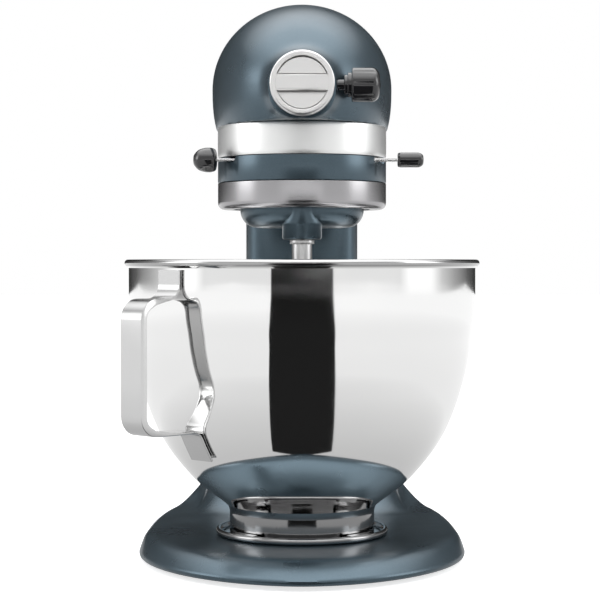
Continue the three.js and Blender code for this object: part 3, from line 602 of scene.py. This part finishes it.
def beater():
    """Bare drive shaft with its cross pin and collar."""
    radius, low, high = SHAFT["radius"], SHAFT["low"], SHAFT["high"]
    outline = [(0, low), (radius - 1.15, low), (radius, low + 1.4), (radius, high), (0, high)]
    turned = lathe(rounded(outline, [0, 0.8, 0.8, 0.3, 0], 4), at=(0, -ORBIT), sides=72)
    shaft = piece("shaft", *turned, SHAFT_STEEL, "beater", ["beater_shaft"], "satin_steel")
    cut(shaft, [rod(SHAFT["pin_radius"] + GAP, -20, 20, "x", (-ORBIT, SHAFT["pin"]), 32)])
    radius, half = SHAFT["pin_radius"], SHAFT["pin_half"]
    outline = [(0, -half), (radius, -half), (radius, half), (0, half)]
    turned = lathe(rounded(outline, [0, 0.7, 0.7, 0], 4), "x", (-ORBIT, SHAFT["pin"]), 32)
    piece("cross_pin", *turned, MACHINED, "beater", ["beater_cross_pin"], "machined_steel")
    inner, outer, low, high = COLLAR["inner"], COLLAR["outer"], COLLAR["low"], COLLAR["high"]
    outline = [(inner, low), (outer, low), (outer, high), (inner, high)]
    turned = lathe(rounded(outline, 0.3, 3), at=(0, -ORBIT), sides=72)
    piece("collar", *turned, SHAFT_STEEL, "beater", ["beater_collar"], "satin_steel")


# ---------------------------------------------------------------- attachment hub
COVER = {"front": -79.6, "floor": -73, "back": -70.8, "radius": 19.7, "rim": 16.1, "bar": 4.8, "sunk": 1.7}
SPIGOT = {"radius": 11.8, "end": -52}


def hub_cover():
    """Cover disc: its rim and a bar across it stand level, and the two half-moons between them are sunk."""
    front, floor, rim, bar = COVER["front"], COVER["floor"], COVER["rim"], COVER["bar"]
    outline = [
        (0, SPIGOT["end"]), (SPIGOT["radius"], SPIGOT["end"]), (SPIGOT["radius"], COVER["back"]),
        (COVER["radius"], COVER["back"]), (COVER["radius"], front), (rim, front), (rim, floor), (0, floor),
    ]
    turned = lathe(rounded(outline, [0, 0.8, 0.3, 0.8, 1.5, 0.3, 0.2, 0], 6), "y", (0, HUB["z"]), 160)
    piece("hub_lid", *turned, HUB_STEEL, "hub_cover", ["hub_cover"], "polished_steel", 40)
    back = floor - 0.2
    first = math.asin(bar / rim)
    points = []
    for middle in (0, math.pi):
        for k in range(17):
            turn = middle - first + 2 * first * k / 16
            points.append(((rim + 0.02) * math.cos(turn), (rim + 0.02) * math.sin(turn)))
    rings = []
    for y, inset in ((back, 0), (front + 0.33, 0), (front + 0.1, 0.08), (front + 0.02, 0.3)):
        rings.append([place(x, y, HUB["z"] + z * (1 - inset / bar)) for x, z in points])
    piece("hub_bar", *loft(rings), HUB_STEEL, "hub_cover", [], "polished_steel", 50)
    for name, side, groove in (("moon_above", 1, 0.8), ("moon_below", -1, 2)):
        radius, chord = rim - 0.8, bar + groove
        first = math.asin(chord / radius)
        points = []
        for k in range(41):
            turn = first + (math.pi - 2 * first) * k / 40
            points.append((radius * math.cos(turn), side * radius * math.sin(turn)))
        rings = [[place(x, y, HUB["z"] + z) for x, z in points] for y in (back, front + COVER["sunk"])]
        piece(name, *loft(rings), HUB_STEEL, "hub_cover", [], "polished_steel", 50)


def attachment_knob():
    """Black fluted thumb screw with a collar."""
    flutes, depth = 8, 0.4
    radius, inner_end, outer_end = 10.5, 30, 44

    def wave(turn, r, along):
        fade = min(1, max(0, (along - inner_end - 0.6) / 2)) * min(1, max(0, (outer_end + 2 - along) / 4))
        return r - depth * fade * max(0, math.cos(flutes * turn)) ** 2 if r > 8 else r

    outline = [
        (0, 12.6), (3.3, 12.6), (3.3, 25.5), (6.2, 25.5), (6.2, 27.6), (7.6, 27.6), (7.6, inner_end),
        (radius, inner_end), (radius, outer_end), (7.6, 46.9), (0, 47.8),
    ]
    profile = rounded(outline, [0, 0.4, 0.3, 0.6, 0.3, 0.6, 0.3, 1.6, 4, 3, 0], 6)
    turned = lathe(profile, "x", (SCREW_HOLE["y"], HUB["z"]), 168, wave)
    piece("thumb_screw", *turned, GLOSS_BLACK, "attachment_knob", ["attachment_knob"], "black_plastic", 40)


# ---------------------------------------------------------------- levers
SPEED_KNOB = 60.3  # where each lever's knob starts, from the middle of the head
LOCK_KNOB = 53.6


def lever_arm(name, side, thick, end, body, stands_for):
    """Flat steel arm from its pivot eye out through the slot, to `end` inside its knob."""
    z, y = LEVER["z"], LEVER["y"]
    rings = []
    for x, half in ((26, 2.4), (28, 4.2), (32, 4.6), (36, 3.2), (40, 3), (end, 3)):
        outline = [(-half, -thick / 2), (half, -thick / 2), (half, thick / 2), (-half, thick / 2)]
        rings.append([place(side * x, y + a, z + b) for a, b in rounded(outline, 0.45, 3)])
    piece(name, *loft(rings), BRUSHED, body, stands_for, "satin_steel")


def levers():
    """Speed lever on the right with a slim knob, lock lever on the left with a mushroom knob."""
    lever_arm("speed_arm", 1, 2.3, SPEED_KNOB + GAP, "speed_lever", ["speed_lever_arm"])
    lever_arm("lock_arm", -1, 2.0, LOCK_KNOB + GAP, "lock_lever", ["lock_lever_arm"])
    pivot = (LEVER["y"], LEVER["z"])
    start = SPEED_KNOB
    outline = [
        (0, start), (4.3, start), (4.7, start + 1.7), (4.7, start + 13.7), (3.2, start + 16.1),
        (0, start + 16.3),
    ]
    turned = lathe(rounded(outline, [0, 0.7, 0.6, 1.6, 1.6, 0], 5), "x", pivot, 64)
    piece("speed_knob", *turned, GLOSS_BLACK, "speed_lever", ["speed_lever_knob"], "black_plastic", 40)

    def facets(turn, radius, along):
        return min(radius, 7.1 / max(0.3, abs(math.cos(turn - math.radians(55)))))

    start = LOCK_KNOB
    outline = [
        (0, -start), (3.6, -start), (6.8, -start - 0.8), (7.8, -start - 3.6), (7.7, -start - 7.8),
        (6.4, -start - 12), (3, -start - 14.8), (0, -start - 15),
    ]
    turned = lathe(rounded(outline, [0, 0.8, 1.6, 2.2, 2.2, 2.2, 1.6, 0], 6), "x", pivot, 96, facets)
    piece("lock_knob", *turned, GLOSS_BLACK, "lock_lever", ["lock_lever_knob"], "black_plastic", 40)


# ---------------------------------------------------------------- bowl
BOWL_WALL = [
    (111.3, 188.6), (111.3, 178), (111.2, 166.5), (110.6, 156), (109.3, 146), (107.9, 135.5), (106, 125),
    (103.5, 115), (100.5, 104.6), (96.8, 94.3), (92.2, 83.9), (86.2, 73.6), (78.4, 63.3), (69.3, 53.2),
    (59.6, 45), (52, 39.4), (47.4, 35.6),
]
BOWL = {"thick": 1.1, "rim_radius": 111.9, "rim_z": 191.7, "roll_out": 2.1, "roll_up": 2.2, "rim_low": 189.3}
FOOT = {"radius": 46.7, "inner": 45.5, "low": 18.9, "lug_radius": 51.3, "lug_high": 20.2}
QUARTERS = (45, 135, 225, 315)


def bowl():
    """Deep polished bowl: its wall is a smooth curve below a rolled rim."""
    outside = spline(BOWL_WALL, 5)
    inside = [(r - BOWL["thick"], z + 0.45) for r, z in outside]
    inside[0] = (110.2, 190.4)
    rim = []
    for k in range(15):
        turn = math.radians(-75 + 255 * k / 14)
        out, up = BOWL["roll_out"] * math.cos(turn), BOWL["roll_up"] * math.sin(turn)
        rim.append((BOWL["rim_radius"] + out, BOWL["rim_z"] + up))
    floor = [(38, 33.9), (20, 33.0), (0, 32.8)]
    under = [(0, 31.4), (20, 31.6), (38, 32.6)]
    profile = under + list(reversed(outside)) + rim + inside + floor
    shell = piece("bowl_shell", *lathe(profile, sides=256), MIRROR, "bowl", ["bowl"], "polished_steel", 40)
    # painted shade: the rolled rim's faces, above rim_low, get the darker copy of the bowl's steel
    shell.data.materials.append(RIM_STEEL_SHADED)
    for face in shell.data.polygons:
        face.material_index = 1 if face.center.z > BOWL["rim_low"] * MM else 0


def bowl_foot():
    """Ring welded under the bowl, with a bayonet lug on each quarter."""
    low, radius, inner = FOOT["low"], FOOT["radius"], FOOT["inner"]
    flange = [(radius, 33), (radius + 1.5, 36.6), (radius + 0.5, 37.6), (45.4, 34.2)]
    profile = rounded([(inner, low), (radius, low), *flange], [0.4, 0.4, 3, 0.8, 0.8, 2], 5)
    turned = lathe(profile, sides=192)
    # painted shade: the foot ring wears the darkened copy of the polished steel
    foot = piece("foot_ring", *turned, FOOT_STEEL_SHADED, "bowl", ["bowl_foot"], "polished_steel", 40)
    lugs = [ring_sector(middle, 6, FOOT["lug_radius"], 46, low, FOOT["lug_high"]) for middle in QUARTERS]
    cut(foot, lugs, 40, join=True)


HANDLE_TURN = math.radians(225)
HANDLE = {"half_width": 9.5, "half_thick": 0.9}


def handle_point(r, z, across):
    """A point of the handle: distance from the bowl's axis, height and distance across the strap."""
    return place(
        r * math.cos(HANDLE_TURN) - across * math.sin(HANDLE_TURN),
        r * math.sin(HANDLE_TURN) + across * math.cos(HANDLE_TURN),
        z,
    )


def arc(r, z, radius, start, end, steps=8):
    """Points of an arc in the handle's plane, angles in degrees."""
    turns = [math.radians(start + (end - start) * k / steps) for k in range(steps + 1)]
    return [(r + radius * math.cos(t), z + radius * math.sin(t)) for t in turns]


def handle():
    """Strap handle: a tab welded to the wall at each end, and a grip whose long edges are folded in."""
    weld = 112.6
    path = [(weld, 187.5), (weld, 184), (weld, 178.5), *arc(weld + 9, 178.5, 9, 180, 270)]
    path += [*arc(130.5, 158, 11.5, 90, 0), (142, 140), (142, 120), *arc(130.5, 101, 11.5, 0, -90)]
    path += [(115, 89.5), *arc(101.4, 81.5, 8, 90, 150), (92.4, 81.5), (90.4, 78), (86.3, 71)]
    rings = []
    for i, (r, z) in enumerate(path):
        before, after = path[max(0, i - 1)], path[min(len(path) - 1, i + 1)]
        along = Vector((after[0] - before[0], after[1] - before[1])).normalized()
        out = Vector((-along.y, along.x))
        grip = min(1, max(0, (r - 124) / 10))
        fold = 0.2 + 3.4 * grip
        edge, thick = HANDLE["half_width"], HANDLE["half_thick"]
        half = [
            (edge - 0.2, thick), (edge, 0.5), (edge, -fold), (edge - 0.6, -fold - 0.3), (edge - 1.4, -fold),
            (edge - 1.6, -0.7),
        ]
        section = [(-a, b) for a, b in half[:1]] + half + [(-a, b) for a, b in reversed(half[1:])]
        rings.append([handle_point(r + out.x * b, z + out.y * b, a) for a, b in section])
    # painted shade: the handle wears the darkened copy of the polished steel
    piece("handle", *loft(rings), HANDLE_STEEL_SHADED, "bowl", ["bowl_handle"], "polished_steel", 50)


def clamp_plate():
    """Bowl clamp plate with a rolled edge and a bent tab over each lug."""
    low, edge = 17.3, 55.5
    floor = low + 1.2
    outline = [
        (0, low), (edge - 1.1, low), (edge, low + 1.3), (edge, low + 3.3), (edge - 1.5, low + 4.3),
        (edge - 2.7, low + 3.9), (edge - 3.7, floor), (0, floor),
    ]
    profile = rounded(outline, [0, 0.6, 0.6, 0.8, 0.7, 0.5, 1.2, 0], 5)
    turned = lathe(profile, sides=192)
    # painted shade: the clamp plate wears the darkened copy of the polished steel
    plate = piece("plate", *turned, FOOT_STEEL_SHADED, "base", ["bowl_clamp_plate"], "polished_steel", 40)
    tabs = [ring_sector(middle, 10, 53.6, 48.4, 20.75, 21.55) for middle in QUARTERS]
    cut(plate, tabs, 40, join=True)


# ---------------------------------------------------------------- base and column
BASE = {"front": -118, "rear": 234, "half_width": 105, "plateau": 17, "lift": 3, "seam": 62, "edge": 7}
COLUMN = {"middle": 158, "front": 123, "rear": 207, "half_width": 40.5, "square": 5, "top": 229.3}
COLUMN_FOOT = {"front": 108, "rear": 208, "half_width": 62, "square": 2.6, "high": 70}
PIN = {"y": 182, "z": 226, "bore": 5.3, "cheek": 16.5, "knuckle": 14, "slot": 23.4, "tilt": 42}


def base_height(from_edge, from_column, bearing):
    """Height of the base's upper face, from the distances to its edge and to the column."""
    to_front = max(0, -math.sin(bearing))
    to_side = abs(math.cos(bearing))
    reach = 50 + 60 * to_side * (1 - 0.75 * to_front)
    flare = max(0, 1 - from_column / reach) ** 2.2
    sweep = BASE["plateau"] + (BASE["seam"] - BASE["plateau"]) * flare
    slope = BASE["edge"] + 1.15 * from_edge
    soft = 5
    return -soft * math.log(math.exp(-sweep / soft) + math.exp(-slope / soft))


def base():
    """Cast base: a flat plateau under the bowl, a flare up to the column, a rounded foot line."""
    sides = 160
    edge = oval(sides, BASE["half_width"], 0, -BASE["front"], BASE["rear"], 1.85, 2.7)
    middle, square = COLUMN["middle"], COLUMN_FOOT["square"]
    reach = (COLUMN_FOOT["rear"] - COLUMN_FOOT["front"]) / 2
    seam = oval(sides, COLUMN_FOOT["half_width"], middle, reach, reach, square, square)
    rings = [[place(0.9 * x, middle + 0.9 * (y - middle), BASE["seam"] - 0.6) for x, y in seam]]
    shares = [k / 40 for k in range(38)] + [0.94, 0.955, 0.97, 0.982, 0.992, 1]
    for share in shares:
        ring = []
        for (x, y), (cx, cy) in zip(edge, seam):
            reach = math.hypot(x - cx, y - cy)
            bearing = math.atan2(y - cy, x - cx)
            z = BASE["seam"] if share == 0 else base_height(reach * (1 - share), reach * share, bearing)
            ring.append(place(cx + (x - cx) * share, cy + (y - cy) * share, z))
        rings.append(ring)
    centre = (BASE["front"] + BASE["rear"]) / 2
    for inset, above in ((0.1, 2.2), (0.6, 1), (1.6, 0.2), (3, 0), (9, 0), (9, 5)):
        ring = []
        for x, y in edge:
            shrink = 1 - inset / math.hypot(x, y - centre)
            ring.append(place(x * shrink, centre + (y - centre) * shrink, BASE["lift"] + above))
        rings.append(ring)
    piece("base_shell", *loft(rings), ENAMEL, "base", ["base_casting"], "paint", 50)


def column_ring(z, sides=160):
    """Section of the column at a height: its foot's form flows into the column's own form."""
    flare = max(0, 1 - (z - BASE["seam"]) / COLUMN_FOOT["high"]) ** 2.2

    def flowing(key):
        return COLUMN[key] + (COLUMN_FOOT[key] - COLUMN[key]) * flare

    front, rear, square = flowing("front"), flowing("rear"), flowing("square")
    middle = (front + rear) / 2
    outline = oval(360, flowing("half_width"), middle, middle - front, rear - middle, square, square)
    return [place(x, y, z) for x, y in even(outline, sides)]


def column():
    """Column: a flared foot, two cheeks round the hinge pin, and a rear shoulder clear of the tilting head."""
    seam = BASE["seam"]
    heights = [seam + 0.5, seam + 0.9, seam + 2]
    heights += [seam + 4 + 3.3 * k for k in range(20)]
    heights += [140, 180, 215, 246]
    rings = [column_ring(z) for z in heights]
    middle = place(0, COLUMN["middle"], seam + 0.5)
    rings[0] = [p + (middle - p) * 0.008 for p in rings[0]]
    obj = piece("column_shell", *loft(rings), ENAMEL, "base", ["column"], "paint", 35)
    first = math.pi - math.asin((COLUMN["top"] - PIN["z"]) / PIN["cheek"])
    last = math.pi / 2 - math.radians(PIN["tilt"])
    edge = [(100, COLUMN["top"])]
    for k in range(33):
        turn = first + (last - first) * k / 32
        edge.append((PIN["y"] + PIN["cheek"] * math.cos(turn), PIN["z"] + PIN["cheek"] * math.sin(turn)))
    y, z = edge[-1]
    edge.append((240, z - (240 - y) * math.tan(math.radians(PIN["tilt"]))))
    outline = edge + [(240, 260), (100, 260)]
    above = raw(*loft([[place(x, a, b) for a, b in outline] for x in (-70, 70)]))
    slot = raw(*block(-PIN["slot"], PIN["slot"], PIN["y"] - 17.5, PIN["y"] + 24, PIN["z"] - 15.5, 262))
    bore = rod(PIN["bore"], -38.3, 38.3, "x", (PIN["y"], PIN["z"]), 48)
    screw = rod(3.5, 212, 240, "z", (0, 143), 32)
    outlet = rod(5.3, 190, 220, "y", (0, 80), 32)
    cut(obj, [above, slot, bore, screw, outlet], 30)


def tongue():
    """Pad and knuckle under the head: the pad rests on the column, the knuckle turns on the pin."""
    y, z, radius, top = PIN["y"], PIN["z"], PIN["knuckle"], 246
    outline = [(y - radius, top), (y - radius, z)]
    for k in range(25):
        turn = math.pi + math.pi * k / 24
        outline.append((y + radius * math.cos(turn), z + radius * math.sin(turn)))
    outline += [(y + radius, top)]
    half = PIN["slot"] - GAP
    rings = [[place(x, a, b) for a, b in outline] for x in (-half, half)]
    knuckle = piece("knuckle", *loft(rings), ENAMEL, "head", [], "paint", 35)
    cut(knuckle, [rod(PIN["bore"], -40, 40, "x", (y, z), 48)], 35)
    pad = even(rounded([(-34, 126), (34, 126), (34, 164), (-34, 164)], [10, 10, 2, 2], 8), 96)
    rings = []
    for height, share in ((229.7, 0.97), (230.4, 1), (244, 1)):
        rings.append([place(a * share, 145 + (b - 145) * share, height) for a, b in pad])
    piece("neck_pad", *loft(rings), ENAMEL, "head", [], "paint", 35)


def dress():
    """Builds every visible piece."""
    dress_frame()
    housing()
    rear_cover()
    trim_band()
    gear_case()
    tongue()
    drip_ring()
    planetary()
    beater()
    hub_cover()
    attachment_knob()
    levers()
    bowl()
    bowl_foot()
    handle()
    clamp_plate()
    base()
    column()


dress()


# ---------------------------------------------------------------- studio
EYE = (-1.3, -1150, 192)
EYE_AIM = (-1.3, 0, 167.8)
LENS = 106.9
FLOOR_REACH = 9  # metres


def sky():
    """Surroundings: plain white to the camera, pale in front and above and dark behind to reflections."""
    world = bpy.data.worlds.new("studio")
    bpy.context.scene.world = world
    world.use_nodes = True
    nodes, links = world.node_tree.nodes, world.node_tree.links

    def step(operation, first, second=0.0):
        node = nodes.new("ShaderNodeMath")
        node.operation = operation
        for socket, value in zip(node.inputs, (first, second)):
            if isinstance(value, float):
                socket.default_value = value
            else:
                links.new(value, socket)
        return node.outputs[0]

    def blend(share, first, second):
        node = nodes.new("ShaderNodeMix")
        links.new(share, node.inputs[0])
        for socket, value in ((node.inputs[2], first), (node.inputs[3], second)):
            if isinstance(value, float):
                socket.default_value = value
            else:
                links.new(value, socket)
        return node.outputs[0]

    where = nodes.new("ShaderNodeTexCoord")
    split = nodes.new("ShaderNodeSeparateXYZ")
    links.new(where.outputs["Generated"], split.inputs["Vector"])
    height = split.outputs["Z"]
    aside = step("ABSOLUTE", split.outputs["X"])
    bearing = step("ARCTAN2", aside, step("MULTIPLY", split.outputs["Y"], -1.0))
    ramp = nodes.new("ShaderNodeValToRGB")
    links.new(step("DIVIDE", bearing, math.pi), ramp.inputs["Fac"])
    # brightness by bearing, in degrees from straight in front
    stops = [(0, 0.84), (60, 0.88), (95, 0.82), (118, 0.4), (140, 0.12), (160, 0.04), (180, 0.03)]
    strip = ramp.color_ramp
    while len(strip.elements) < len(stops):
        strip.elements.new(0.5)
    for element, (degrees, value) in zip(strip.elements, stops):
        element.position = degrees / 180
        element.color = (value, value, value, 1)
    level = ramp.outputs["Color"]
    # what only reflections see: a brighter ceiling, and a tall bright card on each side
    seen = nodes.new("ShaderNodeLightPath")
    beside = step("MULTIPLY", ranged(nodes, links, bearing, 0.0, 1.0, math.radians(66), math.radians(74)),
                  ranged(nodes, links, bearing, 2.2, 0.0, math.radians(92), math.radians(104)))
    beside = step("MULTIPLY", beside, ranged(nodes, links, height, 1.0, 0.0, 0.35, 0.7))
    beside = step("MULTIPLY", beside, ranged(nodes, links, height, 0.2, 1.8, 0.02, 0.16))
    boost = step("MULTIPLY", beside, seen.outputs["Is Glossy Ray"])
    level = step("MULTIPLY", level, step("ADD", boost, 1.0))
    ceiling = blend(seen.outputs["Is Glossy Ray"], 0.9, 3.2)
    level = blend(ranged(nodes, links, height, 0.0, 1.0, 0.5, 0.85), level, ceiling)
    # a bright card low in front, above the dark flag, which ends at the horizon
    ahead = ranged(nodes, links, bearing, 1.0, 0.0, math.radians(14), math.radians(32))
    card = step("MULTIPLY", ahead, ranged(nodes, links, height, 0.0, 1.0, 0.018, 0.03))
    card = step("MULTIPLY", card, ranged(nodes, links, height, 4.2, 0.0, 0.05, 0.075))
    level = step("MULTIPLY", level, step("ADD", card, 1.0))
    narrow = step("LESS_THAN", bearing, math.radians(19.8))
    flag = step("MULTIPLY", narrow, step("LESS_THAN", height, 0.02))
    level = blend(flag, level, 0.012)
    level = blend(seen.outputs["Is Camera Ray"], level, 1.0)
    links.new(level, nodes["Background"].inputs["Color"])
    nodes["Background"].inputs["Strength"].default_value = 1.0


def floor_flag():
    """Dark card that lies on the floor below the picture's edge and shows only in the steel's reflections."""
    near, far = -119, -8800
    corners = [(-43, near), (43, near), (3150, far), (-3150, far)]
    mesh = bpy.data.meshes.new("flag")
    mesh.from_pydata([place(x, y, 0.6) for x, y in corners], [], [(0, 1, 2, 3)])
    dark, _, _, surface = shader("flag_cloth", (0.012, 0.012, 0.012), 0, 1)
    surface.inputs["Specular IOR Level"].default_value = 0
    mesh.materials.append(dark)
    flag = bpy.data.objects.new("flag", mesh)
    flag.visible_camera = False
    flag.visible_diffuse = False
    flag.visible_shadow = False
    bpy.context.scene.collection.objects.link(flag)


def aimed(start, end):
    """The matrix of something that stands at start and points at end."""
    return Matrix.Translation(start) @ (end - start).to_track_quat("-Z", "Y").to_matrix().to_4x4()


def soft_box(name, at, aim, width, height, power):
    """A soft area light aimed at a point, unseen by the camera and in reflections."""
    light = bpy.data.lights.new(name, "AREA")
    light.shape = "RECTANGLE"
    light.size, light.size_y = width * MM, height * MM
    light.energy = power
    holder = bpy.data.objects.new(name, light)
    holder.matrix_world = aimed(place(*at), place(*aim))
    holder.visible_camera = False
    holder.visible_glossy = False
    bpy.context.scene.collection.objects.link(holder)


def floor_surface():
    """Pale floor; reflections see it as a glow that fades towards the mixer."""
    material, nodes, links, surface = shader("studio_floor", (0.86, 0.86, 0.86), 0, 0.6)
    links.new(ranged(nodes, links, noise(nodes, links, 3, 2), 0.55, 0.65), surface.inputs["Roughness"])
    surface.inputs["Emission Color"].default_value = (1, 1, 1, 1)
    seen = nodes.new("ShaderNodeLightPath")
    lift = ranged(nodes, links, seen.outputs["Is Camera Ray"], 0.0, 0.7, 0, 1)
    links.new(lift, surface.inputs["Emission Strength"])
    where = nodes.new("ShaderNodeTexCoord")
    flat = nodes.new("ShaderNodeVectorMath")
    flat.operation = "LENGTH"
    shift = nodes.new("ShaderNodeVectorMath")
    shift.operation = "SUBTRACT"
    shift.inputs[1].default_value = (0, BOWL_AXIS, 0)
    links.new(where.outputs["Object"], shift.inputs[0])
    links.new(shift.outputs["Vector"], flat.inputs[0])
    near = ranged(nodes, links, flat.outputs["Value"], 0.6, 0.92, 0.12, 0.36)
    far = ranged(nodes, links, flat.outputs["Value"], 0.0, 0.16, 0.34, 1.8)
    glow = nodes.new("ShaderNodeEmission")
    total = nodes.new("ShaderNodeMath")
    links.new(near, total.inputs[0])
    links.new(far, total.inputs[1])
    links.new(total.outputs[0], glow.inputs["Strength"])
    mix = nodes.new("ShaderNodeMixShader")
    links.new(seen.outputs["Is Glossy Ray"], mix.inputs[0])
    links.new(surface.outputs[0], mix.inputs[1])
    links.new(glow.outputs[0], mix.inputs[2])
    links.new(mix.outputs[0], nodes["Material Output"].inputs["Surface"])
    return material


def studio():
    """Pale floor, soft lights, a dark flag in front, and the camera where the photographer stood."""
    scene = bpy.context.scene
    scene.view_settings.view_transform = "Standard"
    scene.view_settings.look = "None"
    mesh = bpy.data.meshes.new("floor")
    far = FLOOR_REACH
    mesh.from_pydata([(-far, -far, 0), (far, -far, 0), (far, far, 0), (-far, far, 0)], [], [(0, 1, 2, 3)])
    mesh.materials.append(floor_surface())
    floor = bpy.data.objects.new("floor", mesh)
    scene.collection.objects.link(floor)

    sky()
    soft_box("key_left", (-1500, -60, 540), (0, 0, 260), 700, 1100, 7)
    soft_box("key_right", (1500, -60, 540), (0, 0, 260), 700, 1100, 8)
    soft_box("top", (0, -500, 1700), (0, 0, 250), 1100, 700, 10)
    floor_flag()

    camera = bpy.data.cameras.new("camera")
    camera.lens = LENS
    camera.sensor_width = 36
    holder = bpy.data.objects.new("camera", camera)
    holder.matrix_world = aimed(place(*EYE), place(*EYE_AIM))
    scene.collection.objects.link(holder)
    scene.camera = holder


studio()
